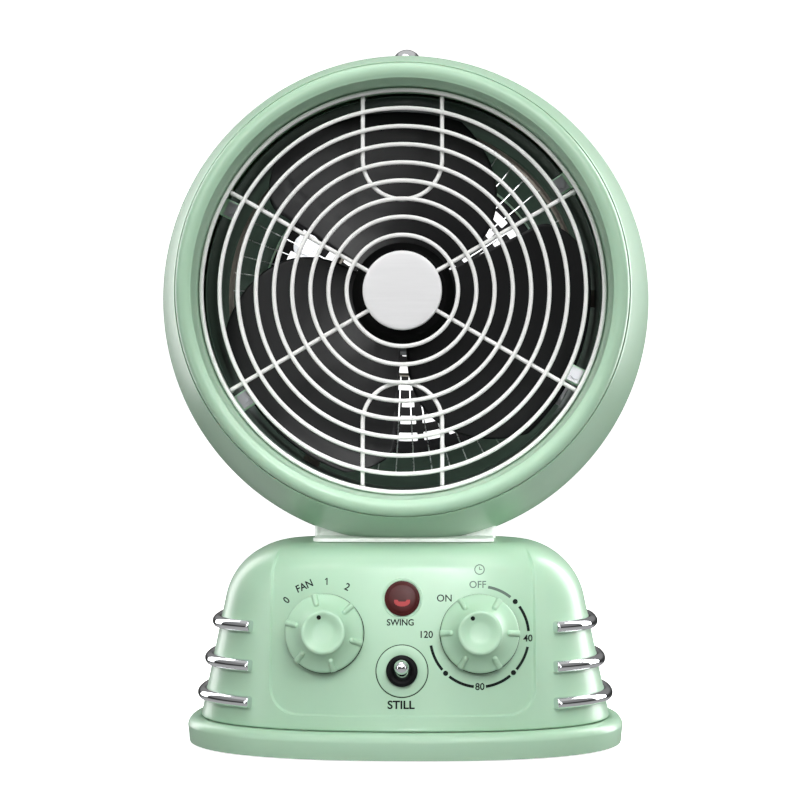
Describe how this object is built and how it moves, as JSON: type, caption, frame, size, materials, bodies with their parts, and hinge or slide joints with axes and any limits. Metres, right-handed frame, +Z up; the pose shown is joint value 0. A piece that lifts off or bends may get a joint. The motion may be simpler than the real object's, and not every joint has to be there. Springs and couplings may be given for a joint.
{
  "type": "fan heater",
  "caption": "Table fan heater: round swinging head with wire guard, blades and heating element on an oblong base with dials, lamp and bright side bars.",
  "frame": {"origin": "middle of the foot, on the surface that it stands on", "axes": "+X to the right seen from the front, +Y to the back, +Z up; the guard faces -Y"},
  "size_m": [0.2888, 0.174, 0.413],
  "materials": {
    "mint_plastic": "satin",
    "white_plastic": "satin",
    "black_plastic": "satin",
    "blade_plastic": "semi-gloss",
    "grey_plastic": "matt",
    "nylon": "matt",
    "rubber": "matt",
    "chrome": "polished",
    "steel": "zinc plated",
    "duct_steel": "dull",
    "wire_enamel": "gloss enamel",
    "cap_silver": "satin",
    "motor_metal": "dull",
    "mica": "matt",
    "heater_alloy": "drawn",
    "red_lens": "polished"
  },
  "bodies": {
    "base": {"plinth": "mint_plastic", "base_housing": "mint_plastic", "bottom_plate": "black_plastic", "rubber_feet": "rubber", "bottom_screws": "steel", "trim_bars_left": "chrome", "trim_bars_right": "chrome", "lamp_lens": "red_lens", "lamp_holder": "black_plastic", "switch_plate": "mint_plastic", "switch_bush": "black_plastic", "toggle_switch": "grey_plastic", "mode_switch": "grey_plastic", "timer": "grey_plastic", "swivel_bearing": "nylon", "swing_motor": "motor_metal", "swing_bracket": "steel", "swing_screws": "steel", "cord_gland": "black_plastic", "terminal_block": "nylon", "tip_switch": "grey_plastic", "tip_spring": "steel"},
    "head": {"neck": "white_plastic", "neck_screws": "steel", "swivel_gear": "nylon", "swivel_clip": "steel", "front_bezel": "mint_plastic", "drum_front": "mint_plastic", "drum_rear": "mint_plastic", "duct_liner": "duct_steel", "rear_grille": "black_plastic", "guard_rings": "wire_enamel", "guard_spokes": "wire_enamel", "guard_hub_plate": "steel", "guard_cap": "cap_silver", "guard_clips": "steel", "guard_screws": "steel", "motor": "motor_metal", "motor_end_bell": "motor_metal", "motor_bracket": "steel", "motor_screws": "steel", "heater_frame": "mica", "heater_wires": "heater_alloy", "thermostat": "steel", "handle": "chrome", "handle_screws": "steel"},
    "rotor": {"fan": "blade_plastic", "motor_shaft": "steel", "fan_nut": "steel"},
    "mode_dial": {"mode_knob": "mint_plastic", "mode_spindle": "steel"},
    "timer_dial": {"timer_knob": "mint_plastic", "timer_spindle": "steel"},
    "toggle": {"toggle_lever": "chrome"},
    "pinion": {"swing_pinion": "nylon"},
    "plunger": {"tip_plunger": "nylon"}
  },
  "joints": [
    {"name": "head_swing", "type": "hinge", "parent": "base", "child": "head", "pos_m": [0, 0, 0.116], "axis": [0, 0, 1], "range_deg": [-35, 35]},
    {"name": "fan_spin", "type": "hinge", "parent": "head", "child": "rotor", "pos_m": [0, 0, 0.2562], "axis": [0, -1, 0], "continuous": true},
    {"name": "mode_turn", "type": "hinge", "parent": "base", "child": "mode_dial", "pos_m": [-0.0425, -0.07109, 0.0677], "axis": [0, -0.9903, 0.1392], "range_deg": [-40, 37.5]},
    {"name": "timer_turn", "type": "hinge", "parent": "base", "child": "timer_dial", "pos_m": [0.0425, -0.07109, 0.0677], "axis": [0, -0.9903, 0.1392], "range_deg": [-301, 15]},
    {"name": "toggle_flip", "type": "hinge", "parent": "base", "child": "toggle", "pos_m": [0, -0.07045, 0.04711], "axis": [1, 0, 0], "range_deg": [0, 16]},
    {"name": "pinion_turn", "type": "hinge", "parent": "base", "child": "pinion", "pos_m": [0, 0.0375, 0.104], "axis": [0, 0, 1], "range_deg": [-141, 141]},
    {"name": "plunger_slide", "type": "slide", "parent": "base", "child": "plunger", "axis": [0, 0, -1], "range_m": [0, 0.004], "stiffness_N_per_m": 60, "springref_m": 0.012, "deforming": ["tip_spring"]}
  ],
  "couplings": [
    {"joint": "pinion_turn", "follows": "head_swing", "ratio": -4}
  ]
}
